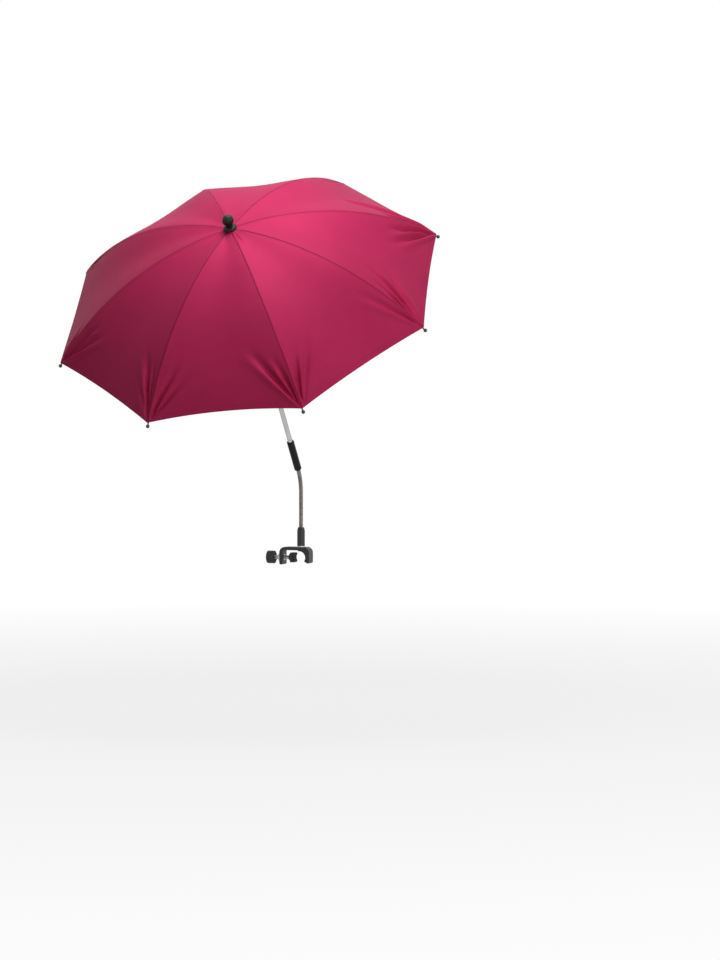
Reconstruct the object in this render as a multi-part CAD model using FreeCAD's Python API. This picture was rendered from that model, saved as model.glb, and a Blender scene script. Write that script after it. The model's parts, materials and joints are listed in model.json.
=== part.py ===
import FreeCAD, Part
import math
import os

# Pram parasol: an eight-rib folding canopy on a steel mast, a bendable gooseneck and a tube clamp.
# Frame in millimetres, +Z up. The origin is the centre of the tube that the clamp grips, which runs along Y.
# The mast leans towards -Y. Everything on it is drawn upright about the mast's own axis, with zero height
# at the rib hinges, and is then placed by mast_placement.

Vector = FreeCAD.Vector
ORIGIN = Vector(0, 0, 0)
AXIS_X = Vector(1, 0, 0)
AXIS_Y = Vector(0, 1, 0)
AXIS_Z = Vector(0, 0, 1)

# Canopy and ribs
rib_count = 8
first_rib_angle = 210.5
tip_circle_radius = 370.0
tip_drop = 162.0
fold_angle = 63.0
rib_width = 3.0
rib_height = 3.0
rib_wall = 0.5
rib_bend_count = 10
tongue_thickness = 1.4
tongue_length = 15.0
channel_start = 9.0
eye_radius = 1.8
rivet_reach = 185.0
rivet_diameter = 1.6
rivet_head_height = 0.6
pin_side_count = 12
canopy_thickness = 1.0
canopy_clearance = 1.3
canopy_hole_radius = 6.0
corner_setback = 6.5
hem_bow = 6.0

# Rib tips
tip_ball_diameter = 6.8
tip_stem_diameter = 2.8
tip_collar_diameter = 4.2
tip_collar_length = 2.8
tip_peg_length = 8.0
rib_end_setback = 9.5
tip_side_count = 10
tip_band_count = 4

# Stretchers
stretcher_width = 2.6
stretcher_height = 2.4
stretcher_tongue_length = 11.0
stretcher_channel_start = 7.0
fork_length = 10.5
fork_bridge_length = 3.5
fork_cheek = 0.8
fork_cheek_radius = 1.6

# Hinge rings of the crown and the runner
hinge_ring_radius = 8.0
hinge_side_count = 24
wire_diameter = 1.2
slot_width = 2.0
flange_radius = 11.5
flange_rise = 1.9
flange_depth = 3.2
crown_hub_radius = 6.6
crown_hub_length = 14.0
crown_plate = 1.5
runner_hub_radius = 7.0
runner_length = 34.0
runner_rim_radius = 8.5
runner_rim_height = 4.0
runner_floor = 2.2

# Mast
shaft_diameter = 9.0
shaft_wall = 0.8
shaft_engagement = 30.0
sleeve_top_drop = 505.0
sleeve_length = 70.0
sleeve_diameter = 14.0
sleeve_wall = 1.3
sleeve_lip = 2.0
sleeve_edge = 1.0
coupling_diameter = 11.2
stop_pin_diameter = 2.0
stop_pin_length = 11.0

# Latch springs in the mast
latch_thickness = 1.0
latch_reach = 7.0
latch_fin_length = 20.0
latch_leg_length = 48.0
latch_leg_width = 1.2

# Finial on top of the canopy
cap_radius = 12.4
cap_edge = 1.4
cap_height = 6.4
cap_top_radius = 6.6
ball_diameter = 21.5
ball_height = 22.3
ball_neck_radius = 6.4
ball_band_count = 8
cap_band_count = 4
finial_side_count = 24
stud_diameter = 5.0
stud_plug_length = 12.0
stud_rise = 17.0

# Gooseneck
mast_tilt = 40.0
neck_diameter = 8.5
neck_straight = 66.0
neck_bend_radius = 75.0
neck_engagement = 12.0
neck_wire_radius = 1.45
neck_pitch = 4.0
neck_wire_side_count = 4
neck_turn_side_count = 9
neck_core_diameter = 2.4
core_side_count = 8
core_bend_count = 12

# Swivel at the foot of the gooseneck
socket_diameter = 15.0
socket_top_diameter = 12.0
socket_taper = 6.0
socket_length = 36.0
post_diameter = 8.0
post_height = 20.5
post_flange_diameter = 15.0
post_flange_height = 2.0
post_shank_diameter = 6.0
set_screw_diameter = 4.0
set_screw_height = 11.0
groove_depth = 1.0
web_thickness = 2.4

# Clamp
tube_diameter = 25.0
jaw_width = 24.0
liner_thickness = 2.0
jaw_wall = 6.0
jaw_low_angle = -35.0
jaw_high_angle = 100.0
jaw_corner_radius = 11.0
jaw_tail = 3.0
leg_wall = 7.0
leg_drop = 14.0
pad_width = 20.0
pad_half_angle = 35.0
pad_thickness = 5.0
pad_margin = 1.2
pad_boss_diameter = 13.0
pad_boss_length = 4.0
pad_open_travel = 10.0
pad_close_travel = 6.0
screw_diameter = 8.0
nut_diameter = 12.0
nut_flange_diameter = 17.0
nut_flange_height = 4.0
knob_diameter = 25.0
knob_length = 16.0
knob_flute_count = 12
knob_flute_depth = 1.6
knob_dome = 2.0
knob_wall = 6.0

# Sides of the bores and shanks that are out of sight
hidden_side_count = 24

# Clearances: running ones between moving pieces, seating ones between pieces that are fixed together
running = 0.3
pivot_play = 0.15
seating = 0.05
overrun = 5.0

# Rib arc in the plane of a rib: it leaves the hinge level and ends at the tip ball
rib_span = tip_circle_radius - hinge_ring_radius
rib_arc_radius = (rib_span ** 2 + tip_drop ** 2) / (2 * tip_drop)
tip_arc = math.asin(rib_span / rib_arc_radius)
rivet_arc = math.asin((rivet_reach - hinge_ring_radius) / rib_arc_radius)
rivet_drop = rib_arc_radius * (1 - math.cos(rivet_arc))

# The stretcher is as long as the rib from hinge to rivet, so the two make an isosceles scissor
stretcher_length = math.hypot(rivet_reach - hinge_ring_radius, rivet_drop)
stretcher_rise = math.degrees(math.atan2(rivet_drop, rivet_reach - hinge_ring_radius))
runner_drop = 2 * rivet_drop
runner_travel = 2 * stretcher_length * math.cos(math.radians(90 - stretcher_rise - fold_angle)) - runner_drop

# Half the side of the square bar that fits the hinge wire's round hole
wire_half = wire_diameter / 2 * math.sqrt(0.5)

# Heights on the clamp and along the mast
seat_radius = tube_diameter / 2 + liner_thickness
clamp_top = seat_radius + jaw_wall
leg_gap = seat_radius + pad_thickness + pad_boss_length + pad_open_travel + running
socket_foot = clamp_top + post_flange_height + running
socket_top = socket_foot + socket_length
sleeve_foot_drop = sleeve_top_drop + sleeve_length
shaft_foot_drop = sleeve_top_drop + sleeve_lip + shaft_engagement
runner_foot = -runner_drop - runner_length

tilt = math.radians(mast_tilt)
mast_direction = Vector(0, -math.sin(tilt), math.cos(tilt))
bend_start = Vector(0, 0, socket_top + neck_straight)
bend_centre = bend_start + Vector(0, -neck_bend_radius, 0)
bend_end = bend_centre + Vector(0, math.cos(tilt), math.sin(tilt)) * neck_bend_radius
crown_place = bend_end + mast_direction * sleeve_foot_drop
mast_placement = FreeCAD.Placement(crown_place, FreeCAD.Rotation(AXIS_X, mast_tilt))


def export(node, shape):
    shape.exportStep("parts/" + node + ".step")


def on_mast(shape):
    placed = shape.copy()
    placed.Placement = mast_placement.multiply(placed.Placement)
    return placed


def rib_angle(index):
    return first_rib_angle + index * 360.0 / rib_count


def turned(shape, degrees):
    copy = shape.copy()
    copy.rotate(ORIGIN, AXIS_Z, degrees)
    return copy


def face_of(points):
    return Part.Face(Part.makePolygon(points + points[:1]))


def profile_face(edges):
    return Part.Face(Part.Wire(edges))


def line(start, end):
    return Part.LineSegment(start, end).toShape()


def arc(start, middle, end):
    return Part.Arc(start, middle, end).toShape()


def spun(points):
    # Full revolve about Z of an outline given as (radius, height)
    outline = [Vector(radius, 0, height) for radius, height in points]
    return face_of(outline).revolve(ORIGIN, AXIS_Z, 360)


def arc_stations(start, end, flats):
    return [start + (end - start) * index / flats for index in range(flats + 1)]


def skinned(rings, twisted=False):
    # A solid with flat faces through closed outlines of equally many corners, in triangles where it twists
    faces = [face_of(rings[0]), face_of(rings[-1])]
    for near, far in zip(rings, rings[1:]):
        for index in range(len(near)):
            following = (index + 1) % len(near)
            if twisted:
                faces.append(face_of([near[index], near[following], far[following]]))
                faces.append(face_of([near[index], far[following], far[index]]))
            else:
                faces.append(face_of([near[index], near[following], far[following], far[index]]))
    solid = Part.Solid(Part.Shell(faces))
    if solid.Volume < 0:
        solid.reverse()
    return solid


def polygon_ring(radius, height, sides):
    turn = 2 * math.pi / sides
    return [Vector(radius * math.cos(turn * index), radius * math.sin(turn * index), height) for index in range(sides)]


def faceted_turning(stations, sides):
    # A turned form with few faces, given as (radius, height)
    return skinned([polygon_ring(radius, height, sides) for radius, height in stations])


def ball_stations(radius, height, start_angle, bands):
    # Rings up a ball from an angle above its lowest point to a small flat on top
    flat_share = 0.3
    end_angle = math.pi * (1 - flat_share / bands)
    angles = arc_stations(start_angle, end_angle, bands)
    return [(radius * math.sin(angle), height - radius * math.cos(angle)) for angle in angles]


def drilled(radius, low, high):
    return Part.makeCylinder(radius, high - low, Vector(0, 0, low), AXIS_Z)


def hidden_bore(radius, low, high):
    # A bore or shank out of sight, with few faces
    return faceted_turning([(radius, low), (radius, high)], hidden_side_count)


def cross_pin(radius, half_length, place):
    # A small pin or hole across the rib, with few faces because it repeats
    foot = place - AXIS_Y * half_length
    ring = [foot + AXIS_X * corner.x + AXIS_Z * corner.y for corner in polygon_ring(radius, 0, pin_side_count)]
    return face_of(ring).extrude(AXIS_Y * (2 * half_length))


def round_pin(radius, half_length, place):
    return Part.makeCylinder(radius, 2 * half_length, place - AXIS_Y * half_length, AXIS_Y)


def wire_ring(half_thickness, height):
    # The hinge wire bent round the mast, as a square bar with a corner at each rib and two between
    low = height - half_thickness
    high = height + half_thickness
    outside = hinge_ring_radius + half_thickness
    inside = hinge_ring_radius - half_thickness
    wire_sides = 3 * rib_count
    ring = faceted_turning([(outside, low), (outside, high)], wire_sides)
    ring = ring.cut(faceted_turning([(inside, low - overrun), (inside, high + overrun)], wire_sides))
    return turned(ring, first_rib_angle)


def upright_block(x_low, x_high, half_width, z_low, z_high):
    return Part.makeBox(x_high - x_low, 2 * half_width, z_high - z_low, Vector(x_low, -half_width, z_low))


# Ribs, tips and canopy, drawn in the XZ plane and then turned to their rib

def rib_point(angle, offset):
    radius = rib_arc_radius + offset
    return Vector(hinge_ring_radius + radius * math.sin(angle), 0, radius * math.cos(angle) - rib_arc_radius)


def swept_along_rib(outline, start, end, flats):
    # The outline is (sideways, upward) about the rib's centre line, which is bent in short flats
    centre = Vector(hinge_ring_radius, 0, -rib_arc_radius)
    sections = []
    for station in arc_stations(start, end, flats):
        bend = FreeCAD.Rotation(AXIS_Y, math.degrees(station))
        corners = [Vector(hinge_ring_radius, side, up) - centre for side, up in outline]
        sections.append([centre + bend.multVec(corner) for corner in corners])
    return skinned(sections)


def make_rib():
    side = rib_width / 2
    top = rib_height / 2
    inner = side - rib_wall
    roof = top - rib_wall
    channel = [(-side, -top), (-side, top), (side, top), (side, -top),
               (inner, -top), (inner, roof), (-inner, roof), (-inner, -top)]
    blade = tongue_thickness / 2
    tongue = [(-blade, -top), (-blade, top), (blade, top), (blade, -top)]
    rib_end = tip_arc - rib_end_setback / rib_arc_radius
    rib = swept_along_rib(channel, channel_start / rib_arc_radius, rib_end, rib_bend_count)
    rib = rib.fuse(swept_along_rib(tongue, 0, tongue_length / rib_arc_radius, 1))
    hinge = Vector(hinge_ring_radius, 0, 0)
    rib = rib.fuse(cross_pin(eye_radius, blade, hinge))
    rib = rib.cut(round_pin(wire_diameter / 2 + pivot_play, rib_width, hinge))
    return rib.cut(round_pin(rivet_diameter / 2 + pivot_play, rib_width, rib_point(rivet_arc, 0)))


def make_tip():
    ball = tip_ball_diameter / 2
    stem = tip_stem_diameter / 2
    collar = tip_collar_diameter / 2
    foot = seating - rib_end_setback
    neck = foot + tip_collar_length
    stations = [(collar, foot), (stem, neck)] + ball_stations(ball, 0, math.asin(stem / ball), tip_band_count)
    tip = faceted_turning(stations, tip_side_count)
    tip.rotate(ORIGIN, AXIS_Y, 90)
    peg_side = rib_width / 2 - rib_wall - seating
    peg_low = rib_wall - rib_height / 2
    peg_sag = (rib_end_setback + tip_peg_length) ** 2 / (2 * rib_arc_radius)
    peg_top = rib_height / 2 - rib_wall - running - peg_sag
    peg = upright_block(foot - tip_peg_length, foot + tip_collar_length / 2, peg_side, peg_low, peg_top)
    tip = tip.fuse(peg)
    tip.rotate(ORIGIN, AXIS_Y, math.degrees(tip_arc))
    tip.translate(rib_point(tip_arc, 0))
    return tip


def canopy_band(angle, narrowing, shortening):
    # Outline of the cloth in one upright plane, from the hole at the crown to the hem
    low = rib_height / 2 + canopy_clearance
    start_arc = (canopy_hole_radius - hinge_ring_radius) / rib_arc_radius
    corner_arc = tip_arc - corner_setback / rib_arc_radius
    sides = []
    for offset in (low + canopy_thickness, low):
        side = []
        for station in arc_stations(start_arc, corner_arc, rib_bend_count):
            place = rib_point(station, offset)
            reach = place.x * narrowing
            side.append(Vector(reach * math.cos(angle), reach * math.sin(angle), place.z))
        last_flat = side[-1] - side[-2]
        side[-1] = side[-1] - last_flat.normalize() * (shortening * place.x / tip_circle_radius)
        sides.append(side)
    return sides[0] + sides[1][::-1]


def make_canopy_section():
    # Two half gores sewn along one rib, each ending on the fold line midway to the next rib
    half_gore = math.pi / rib_count
    narrowing = math.cos(half_gore)
    return skinned([canopy_band(-half_gore, narrowing, hem_bow), canopy_band(0, 1, 0),
                    canopy_band(half_gore, narrowing, hem_bow)])


# Stretchers, drawn along X from the runner pivot to the rivet

def make_stretcher():
    side = stretcher_width / 2
    top = stretcher_height / 2
    inner = side - rib_wall
    roof = top - rib_wall
    channel = [(-side, -top), (-side, top), (side, top), (side, -top),
               (inner, -top), (inner, roof), (-inner, roof), (-inner, -top)]
    channel_end = stretcher_length - fork_length
    section = face_of([Vector(stretcher_channel_start, across, up) for across, up in channel])
    stretcher = section.extrude(AXIS_X * (channel_end - stretcher_channel_start))
    blade = tongue_thickness / 2
    stretcher = stretcher.fuse(upright_block(0, stretcher_tongue_length, blade, -top, top))
    stretcher = stretcher.fuse(cross_pin(eye_radius, blade, ORIGIN))
    stretcher = stretcher.cut(round_pin(wire_diameter / 2 + pivot_play, rib_width, ORIGIN))
    cheek_inside = rib_width / 2 + running
    cheek_outside = cheek_inside + fork_cheek
    bridge = upright_block(channel_end - fork_bridge_length, channel_end, cheek_outside, -top, top)
    stretcher = stretcher.fuse(bridge)
    rivet_place = AXIS_X * stretcher_length
    fork_end = stretcher_length + fork_cheek_radius
    fork = upright_block(channel_end - fork_bridge_length, fork_end, cheek_outside, -top, top)
    gap = upright_block(channel_end, fork_end + overrun, cheek_inside, -overrun, overrun)
    stretcher = stretcher.fuse(fork.cut(gap))
    rivet_end = cheek_outside + rivet_head_height
    stretcher = stretcher.fuse(cross_pin(rivet_diameter / 2, rivet_end, rivet_place))
    stretcher.rotate(ORIGIN, AXIS_Y, -stretcher_rise)
    stretcher.translate(Vector(hinge_ring_radius, 0, -runner_drop))
    return stretcher.removeSplitter()


# Crown, runner and their hinge wires

def hinge_slots(low, high):
    inside = hinge_ring_radius - eye_radius - running
    slot = upright_block(inside, flange_radius + overrun, slot_width / 2, low, high)
    return [turned(slot, rib_angle(index)) for index in range(rib_count)]


def make_crown():
    bore = shaft_diameter / 2 + seating
    plate_low = flange_rise - crown_plate
    stud_hole = stud_diameter / 2 + seating
    flange = faceted_turning([(flange_radius, -flange_depth), (flange_radius, flange_rise)], hinge_side_count)
    hub = faceted_turning([(crown_hub_radius, -crown_hub_length), (crown_hub_radius, 0)], hinge_side_count)
    crown = turned(flange.fuse(hub), first_rib_angle)
    crown = crown.cut(drilled(bore, -crown_hub_length - overrun, plate_low))
    crown = crown.cut(drilled(stud_hole, 0, flange_rise + overrun))
    crown = crown.cut(hinge_slots(-crown_hub_length - overrun, flange_rise + overrun))
    return crown.cut(wire_ring(wire_half + seating, 0))


def make_runner():
    bore = shaft_diameter / 2 + running
    stations = [(runner_rim_radius, -runner_length), (runner_rim_radius, runner_rim_height - runner_length),
                (runner_hub_radius, 2 * runner_rim_height - runner_length),
                (runner_hub_radius, -flange_depth - runner_rim_height),
                (flange_radius, -flange_depth), (flange_radius, flange_rise)]
    runner = turned(faceted_turning(stations, hinge_side_count), first_rib_angle)
    runner = runner.cut(drilled(bore, -runner_length - overrun, flange_rise + overrun))
    runner = runner.cut(hinge_slots(-runner_floor, flange_rise + overrun))
    runner = runner.cut(wire_ring(wire_half + seating, 0))
    runner.translate(Vector(0, 0, -runner_drop))
    return runner


def make_hinge_wire(height):
    return wire_ring(wire_half, height)


# Mast: shaft, stop pin, latch springs, finial and grip

stop_pin_height = flange_rise - runner_drop + running + stop_pin_diameter / 2
top_latch_height = runner_foot - running
bottom_latch_height = flange_rise - runner_drop - runner_travel + running
latch_angle = first_rib_angle + 180.0 / rib_count


def make_shaft():
    outside = shaft_diameter / 2
    top = flange_rise - crown_plate - seating
    shaft = drilled(outside, -shaft_foot_drop, top)
    shaft = shaft.cut(drilled(outside - shaft_wall, -shaft_foot_drop - overrun, top + overrun))
    pin_place = Vector(0, 0, stop_pin_height)
    pin_hole = cross_pin(stop_pin_diameter / 2 + seating, shaft_diameter, pin_place)
    shaft = shaft.cut(turned(pin_hole, latch_angle))
    half_window = latch_thickness / 2 + running
    for low, high in ((top_latch_height - latch_fin_length, top_latch_height),
                      (bottom_latch_height, bottom_latch_height + latch_fin_length)):
        window = upright_block(0, shaft_diameter, half_window, low - running, high + running)
        shaft = shaft.cut(turned(window, latch_angle))
    return shaft


def make_stop_pin():
    pin = cross_pin(stop_pin_diameter / 2, stop_pin_length / 2, Vector(0, 0, stop_pin_height))
    return turned(pin, latch_angle)


def make_latch(height, direction):
    # A folded strip: a leg inside the tube and a fin whose square end holds the runner
    leg_back = shaft_diameter / 2 - shaft_wall - running - 2 * latch_leg_width
    leg_front = leg_back + latch_leg_width
    fin_end = height + direction * latch_fin_length
    leg_end = height + direction * latch_leg_length
    outline = [Vector(leg_back, 0, height), Vector(latch_reach, 0, height),
               Vector(leg_front, 0, fin_end), Vector(leg_front, 0, leg_end), Vector(leg_back, 0, leg_end)]
    latch = face_of(outline).extrude(AXIS_Y * latch_thickness)
    latch.translate(AXIS_Y * (-latch_thickness / 2))
    return turned(latch, latch_angle)


cap_foot = rib_height / 2 + canopy_clearance + canopy_thickness + running
cap_top = cap_foot + cap_height


def make_cap():
    rim = cap_foot + cap_edge
    rise = cap_top - rim
    reach = cap_radius - cap_top_radius
    turns = arc_stations(0, math.pi / 2, cap_band_count)
    dome = [(cap_radius - reach * (1 - math.cos(turn)), rim + rise * math.sin(turn)) for turn in turns]
    cap = faceted_turning([(cap_radius, cap_foot)] + dome, finial_side_count)
    return cap.cut(drilled(stud_diameter / 2 + seating, cap_foot - overrun, cap_top + overrun))


def make_finial_ball():
    radius = ball_diameter / 2
    foot = cap_top + seating
    neck_angle = math.asin(ball_neck_radius / radius)
    stations = [(ball_neck_radius, foot)] + ball_stations(radius, ball_height, neck_angle, ball_band_count)
    ball = faceted_turning(stations, finial_side_count)
    return ball.cut(drilled(stud_diameter / 2 + seating, foot - overrun, stud_rise + seating))


def make_finial_stud():
    plug_top = flange_rise - crown_plate - seating
    plug = hidden_bore(shaft_diameter / 2 - shaft_wall - seating, plug_top - stud_plug_length, plug_top)
    return plug.fuse(hidden_bore(stud_diameter / 2, plug_top, stud_rise))


def make_grip_sleeve():
    outside = sleeve_diameter / 2
    bore = outside - sleeve_wall
    lip_bore_low = neck_diameter / 2 + running
    lip_bore_high = shaft_diameter / 2 + seating
    foot = -sleeve_foot_drop
    top = -sleeve_top_drop
    edge = outside - sleeve_edge
    sleeve = spun([(0, foot), (edge, foot), (outside, foot + sleeve_edge), (outside, top - sleeve_edge),
                   (edge, top), (0, top)])
    sleeve = sleeve.cut(hidden_bore(bore, foot + sleeve_lip, top - sleeve_lip))
    sleeve = sleeve.cut(hidden_bore(lip_bore_low, foot - overrun, foot + sleeve_lip))
    return sleeve.cut(hidden_bore(lip_bore_high, top - sleeve_lip, top + overrun))


def make_neck_coupling():
    outside = coupling_diameter / 2
    foot = seating + sleeve_lip - sleeve_foot_drop
    top = -sleeve_top_drop - sleeve_lip - seating
    neck_bore = neck_diameter / 2 + running
    shaft_bore = shaft_diameter / 2 + seating
    coupling = hidden_bore(outside, foot, top)
    coupling = coupling.cut(hidden_bore(neck_bore, foot - overrun, neck_engagement + running - sleeve_foot_drop))
    return coupling.cut(hidden_bore(shaft_bore, -shaft_foot_drop - seating, top + overrun))


# Gooseneck: a wire wound round a soft core, along a straight run, a bend and a short run into the mast

neck_foot = socket_top - neck_engagement
foot_run = neck_engagement + neck_straight
bend_run = neck_bend_radius * tilt
neck_length = foot_run + bend_run + neck_engagement


def neck_frame(distance):
    # Place, direction and the sideways direction in the plane of the bend, at a distance along the neck
    if distance <= foot_run:
        angle = 0
        place = Vector(0, 0, neck_foot + distance)
    elif distance <= foot_run + bend_run:
        angle = (distance - foot_run) / neck_bend_radius
        place = bend_centre + Vector(0, math.cos(angle), math.sin(angle)) * neck_bend_radius
    else:
        angle = tilt
        place = bend_end + mast_direction * (distance - foot_run - bend_run)
    return place, Vector(0, -math.sin(angle), math.cos(angle)), Vector(0, math.cos(angle), math.sin(angle))


coil_radius = neck_diameter / 2 - neck_wire_radius
coil_turns = math.floor((neck_length - neck_engagement - 2 * neck_wire_radius) / neck_pitch)
coil_start = (neck_length - coil_turns * neck_pitch) / 2


def coil_point(turn):
    place, _, inward = neck_frame(coil_start + turn * neck_pitch)
    angle = 2 * math.pi * turn
    return place + AXIS_X * (coil_radius * math.cos(angle)) + inward * (coil_radius * math.sin(angle))


def coil_direction(turn):
    step_share = 1e-4
    return (coil_point(turn + step_share) - coil_point(turn - step_share)).normalize()


def make_gooseneck_winding():
    # The wire has few sides and runs in short straight lengths, because it makes many turns
    rings = []
    for index in range(coil_turns * neck_turn_side_count + 1):
        turn = index / neck_turn_side_count
        place = coil_point(turn)
        outward = (place - neck_frame(coil_start + turn * neck_pitch)[0]).normalize()
        across = coil_direction(turn).cross(outward)
        flat_ring = polygon_ring(neck_wire_radius, 0, neck_wire_side_count)
        rings.append([place + outward * corner.x + across * corner.y for corner in flat_ring])
    return skinned(rings, True)


def coil_self_gap():
    # Least gap between neighbouring turns, on points one turn apart
    steps_per_turn = 12
    gaps = []
    for index in range((coil_turns - 1) * steps_per_turn):
        turn = index / steps_per_turn
        near = [coil_point(turn).distanceToPoint(coil_point(turn + 1 + side / steps_per_turn)) for side in (-1, 0, 1)]
        gaps.append(min(near) - 2 * neck_wire_radius)
    return min(gaps)


def make_gooseneck_core():
    # A soft rod, drawn with flat faces along the bend
    distances = [0] + arc_stations(foot_run, foot_run + bend_run, core_bend_count) + [neck_length]
    rings = []
    for distance in distances:
        place, _, inward = neck_frame(distance)
        flat_ring = polygon_ring(neck_core_diameter / 2, 0, core_side_count)
        rings.append([place + AXIS_X * corner.x + inward * corner.y for corner in flat_ring])
    return skinned(rings)


# Swivel: a post on the clamp, and the socket that turns on it and holds the gooseneck

def make_swivel_post():
    shank = post_shank_diameter / 2
    flange = post_flange_diameter / 2
    post = post_diameter / 2
    groove_middle = socket_foot + set_screw_height
    groove_half = set_screw_diameter / 2 + running
    flange_top = clamp_top + post_flange_height
    swivel = drilled(flange, clamp_top, flange_top)
    swivel = swivel.fuse(hidden_bore(shank, clamp_top - jaw_wall / 2, clamp_top))
    swivel = swivel.fuse(drilled(post, flange_top, groove_middle - groove_half))
    swivel = swivel.fuse(hidden_bore(post - groove_depth, groove_middle - groove_half, groove_middle + groove_half))
    return swivel.fuse(hidden_bore(post, groove_middle + groove_half, flange_top + post_height))


def make_neck_socket():
    outside = socket_diameter / 2
    mouth = socket_top_diameter / 2
    neck_bore = neck_diameter / 2 + running
    post_bore = post_diameter / 2 + running
    web_low = neck_foot - running - web_thickness
    socket = spun([(0, socket_foot), (outside, socket_foot), (outside, socket_top - socket_taper),
                   (mouth, socket_top), (0, socket_top)])
    socket = socket.cut(hidden_bore(post_bore, socket_foot - overrun, web_low))
    socket = socket.cut(hidden_bore(neck_bore, neck_foot - running, socket_top + overrun))
    hole_place = Vector(0, socket_diameter, socket_foot + set_screw_height)
    return socket.cut(cross_pin(set_screw_diameter / 2 + running, socket_diameter, hole_place))


def make_set_screw():
    tip = post_diameter / 2 - groove_depth + running
    place = Vector(0, tip, socket_foot + set_screw_height)
    return Part.makeCylinder(set_screw_diameter / 2, socket_diameter / 2 - tip, place, AXIS_Y)


# Clamp: a hooked frame, a lined jaw, and a screw that drives a pad against the tube

def around(radius, degrees):
    return Vector(radius * math.cos(math.radians(degrees)), 0, radius * math.sin(math.radians(degrees)))


def arc_about_tube(radius, start, end):
    return arc(around(radius, start), around(radius, (start + end) / 2), around(radius, end))


def centred_extrusion(face, width):
    solid = face.extrude(AXIS_Y * width)
    solid.translate(AXIS_Y * (-width / 2))
    return solid


def make_sector(inner, outer, start, end, width):
    edges = [arc_about_tube(inner, start, end), line(around(inner, end), around(outer, end)),
             arc_about_tube(outer, end, start), line(around(outer, start), around(inner, start))]
    return centred_extrusion(profile_face(edges), width)


def make_clamp_frame():
    low = around(seat_radius, jaw_low_angle)
    high = around(seat_radius, jaw_high_angle)
    leg_inside = -leg_gap
    leg_outside = -leg_gap - leg_wall
    corner = jaw_corner_radius
    corner_centre = Vector(clamp_top - corner, 0, clamp_top - corner)
    leg_round = leg_wall / 2
    heel = Vector(leg_outside + corner, 0, clamp_top - corner)
    tail = low.z - jaw_tail
    points = [low, high, Vector(leg_inside, 0, high.z), Vector(leg_inside, 0, leg_round - leg_drop),
              Vector(leg_outside, 0, leg_round - leg_drop), Vector(leg_outside, 0, heel.z),
              Vector(heel.x, 0, clamp_top), Vector(corner_centre.x, 0, clamp_top),
              Vector(clamp_top, 0, corner_centre.z), Vector(clamp_top, 0, tail + leg_round)]
    diagonal = math.sqrt(0.5)
    edges = [arc_about_tube(seat_radius, jaw_low_angle, jaw_high_angle)]
    edges += [line(points[1], points[2]), line(points[2], points[3])]
    edges.append(arc(points[3], Vector(leg_inside - leg_round, 0, -leg_drop), points[4]))
    edges.append(line(points[4], points[5]))
    edges.append(arc(points[5], heel + Vector(-diagonal, 0, diagonal) * corner, points[6]))
    edges.append(line(points[6], points[7]))
    edges.append(arc(points[7], corner_centre + Vector(diagonal, 0, diagonal) * corner, points[8]))
    edges.append(line(points[8], points[9]))
    toe = Vector(clamp_top - leg_round, 0, tail)
    round_centre = Vector(clamp_top - leg_round, 0, tail + leg_round)
    edges.append(arc(points[9], round_centre + Vector(diagonal, 0, -diagonal) * leg_round, toe))
    edges.append(line(toe, low))
    frame = centred_extrusion(profile_face(edges), jaw_width)
    frame = frame.cut(drilled(post_shank_diameter / 2 + seating, clamp_top - jaw_wall / 2, clamp_top + overrun))
    nut_hole = Part.makeCylinder(nut_diameter / 2 + seating, leg_wall + 2 * overrun,
                                 Vector(leg_outside - overrun, 0, 0), AXIS_X)
    return frame.cut(nut_hole)


def make_jaw_liner():
    return make_sector(tube_diameter / 2 + seating, seat_radius - seating, jaw_low_angle, jaw_high_angle, jaw_width)


def make_pad_facing():
    return make_sector(tube_diameter / 2 + seating, seat_radius - seating, 180 - pad_half_angle,
                       180 + pad_half_angle, pad_width)


pad_back = -seat_radius - pad_thickness
screw_tip = pad_back + running
knob_face = -leg_gap - leg_wall - nut_flange_height - pad_close_travel - pad_thickness / 2


def make_pressure_pad():
    upper = around(seat_radius, 180 - pad_half_angle)
    lower = around(seat_radius, 180 + pad_half_angle)
    top = upper.z + pad_margin
    edges = [arc_about_tube(seat_radius, 180 - pad_half_angle, 180 + pad_half_angle),
             line(lower, Vector(lower.x, 0, -top)), line(Vector(lower.x, 0, -top), Vector(pad_back, 0, -top)),
             line(Vector(pad_back, 0, -top), Vector(pad_back, 0, top)),
             line(Vector(pad_back, 0, top), Vector(upper.x, 0, top)), line(Vector(upper.x, 0, top), upper)]
    pad = centred_extrusion(profile_face(edges), pad_width)
    boss_back = pad_back - pad_boss_length
    pad = pad.fuse(Part.makeCylinder(pad_boss_diameter / 2, pad_boss_length, Vector(boss_back, 0, 0), AXIS_X))
    bore_depth = screw_tip + running - boss_back
    return pad.cut(Part.makeCylinder(screw_diameter / 2 + running, bore_depth + overrun,
                                     Vector(boss_back - overrun, 0, 0), AXIS_X))


def make_clamp_nut():
    bore = screw_diameter / 2 + running
    inside = -leg_gap
    outside = -leg_gap - leg_wall
    end = outside - nut_flange_height
    flange = Part.makeCylinder(nut_flange_diameter / 2, nut_flange_height, Vector(end, 0, 0), AXIS_X)
    body = hidden_bore(nut_diameter / 2, outside, inside)
    hole = hidden_bore(bore, end - overrun, inside + overrun)
    for form in (body, hole):
        form.rotate(ORIGIN, AXIS_Y, 90)
    return flange.fuse(body).cut(hole)


def make_clamp_screw():
    foot = knob_face - knob_length + knob_wall
    return Part.makeCylinder(screw_diameter / 2, screw_tip - foot, Vector(foot, 0, 0), AXIS_X)


def fluted_ring(along, radius):
    ring = []
    flute_share = 2 * knob_flute_depth / knob_diameter
    for index in range(2 * knob_flute_count):
        reach = radius * (1 - flute_share * (index % 2))
        angle = math.pi * index / knob_flute_count
        ring.append(Vector(along, reach * math.cos(angle), reach * math.sin(angle)))
    return ring


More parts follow.
